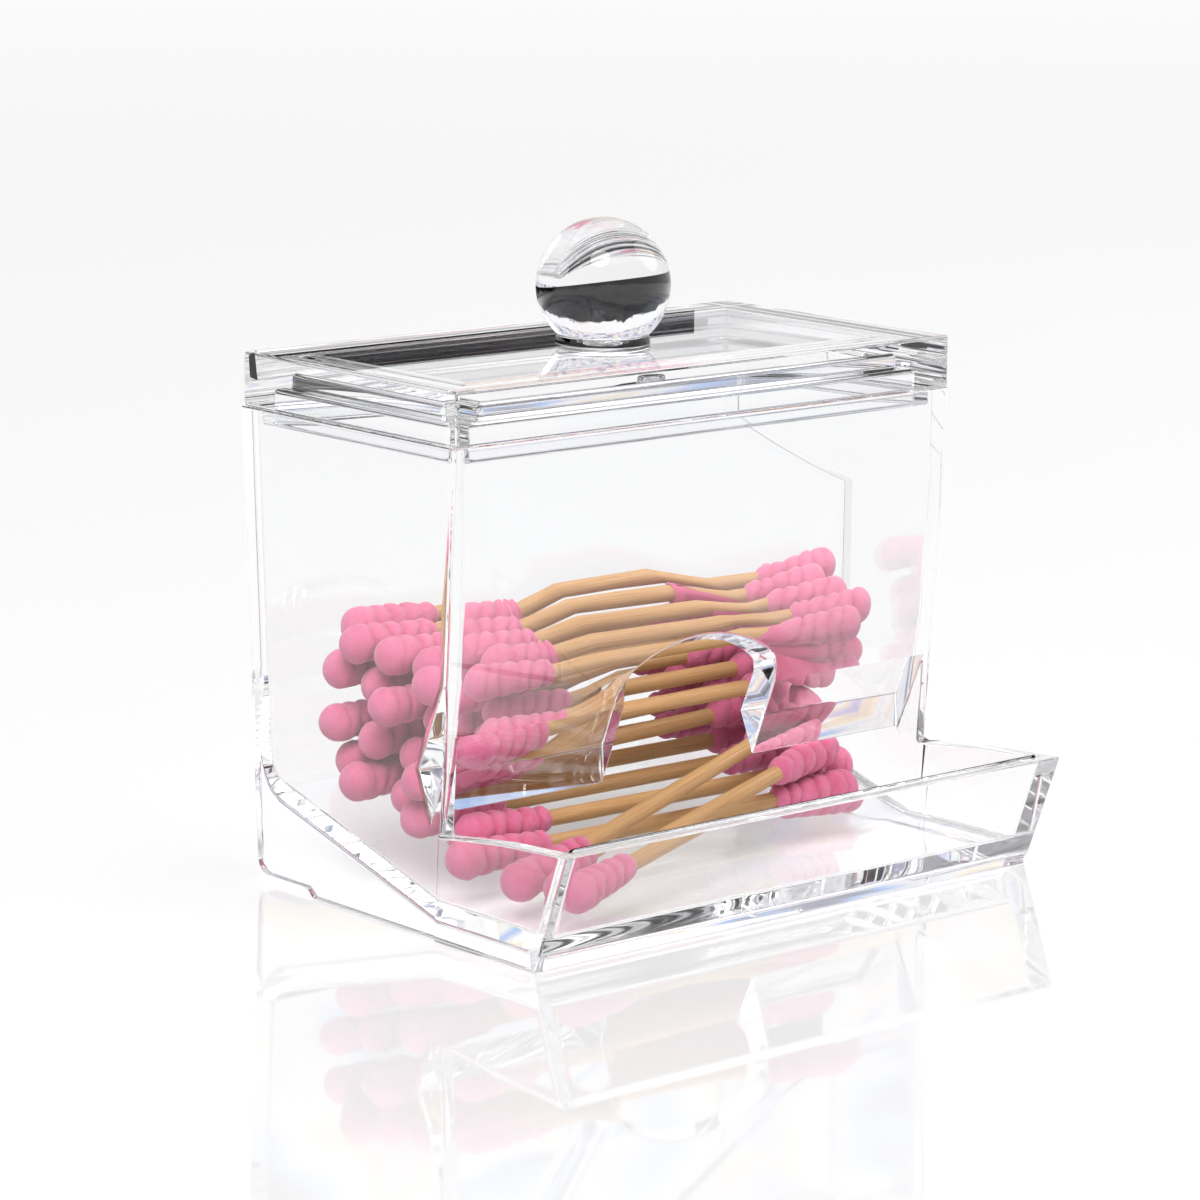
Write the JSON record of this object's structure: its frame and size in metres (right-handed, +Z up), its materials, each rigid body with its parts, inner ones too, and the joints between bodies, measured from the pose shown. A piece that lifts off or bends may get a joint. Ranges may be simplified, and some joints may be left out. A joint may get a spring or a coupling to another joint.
{
  "type": "cotton swab holder",
  "caption": "Clear plastic box that feeds cotton swabs down a ramp to an open tray in front, with a finger notch, a lift-off lid with a ball knob, and pink-tipped swabs inside",
  "frame": {"origin": "middle of the bottom of the overall box, on the table", "axes": "X is the width from side to side, Y is the depth with the tray towards -Y and the hopper towards +Y, Z is up"},
  "size_m": [0.0988, 0.076, 0.0992],
  "materials": {
    "clear_plastic": "clear moulded acrylic, glossy and smooth, with rounded edges",
    "clear_knob": "solid clear acrylic ball, polished",
    "bamboo": "pale bamboo stick with fine lengthwise grain",
    "cotton": "pink cotton wound in a spiral, soft and matt"
  },
  "bodies": {
    "holder": {"holder_body": "clear_plastic", "stick_01": "bamboo", "stick_02": "bamboo", "stick_03": "bamboo", "stick_04": "bamboo", "stick_05": "bamboo", "stick_06": "bamboo", "stick_07": "bamboo", "stick_08": "bamboo", "stick_09": "bamboo", "stick_10": "bamboo", "stick_11": "bamboo", "stick_12": "bamboo", "stick_13": "bamboo", "stick_14": "bamboo", "stick_15": "bamboo", "stick_16": "bamboo", "stick_17": "bamboo", "stick_18": "bamboo", "stick_19": "bamboo", "stick_20": "bamboo", "stick_21": "bamboo", "stick_22": "bamboo", "tips_01": "cotton", "tips_02": "cotton", "tips_03": "cotton", "tips_04": "cotton", "tips_05": "cotton", "tips_06": "cotton", "tips_07": "cotton", "tips_08": "cotton", "tips_09": "cotton", "tips_10": "cotton", "tips_11": "cotton", "tips_12": "cotton", "tips_13": "cotton", "tips_14": "cotton", "tips_15": "cotton", "tips_16": "cotton", "tips_17": "cotton", "tips_18": "cotton", "tips_19": "cotton", "tips_20": "cotton", "tips_21": "cotton", "tips_22": "cotton"},
    "lid": {"lid": "clear_plastic", "knob": "clear_knob"}
  },
  "joints": [
    {"name": "lid_lift", "type": "slide", "parent": "holder", "child": "lid", "axis": [0, 0, 1], "range_m": [0, 0.04]}
  ]
}
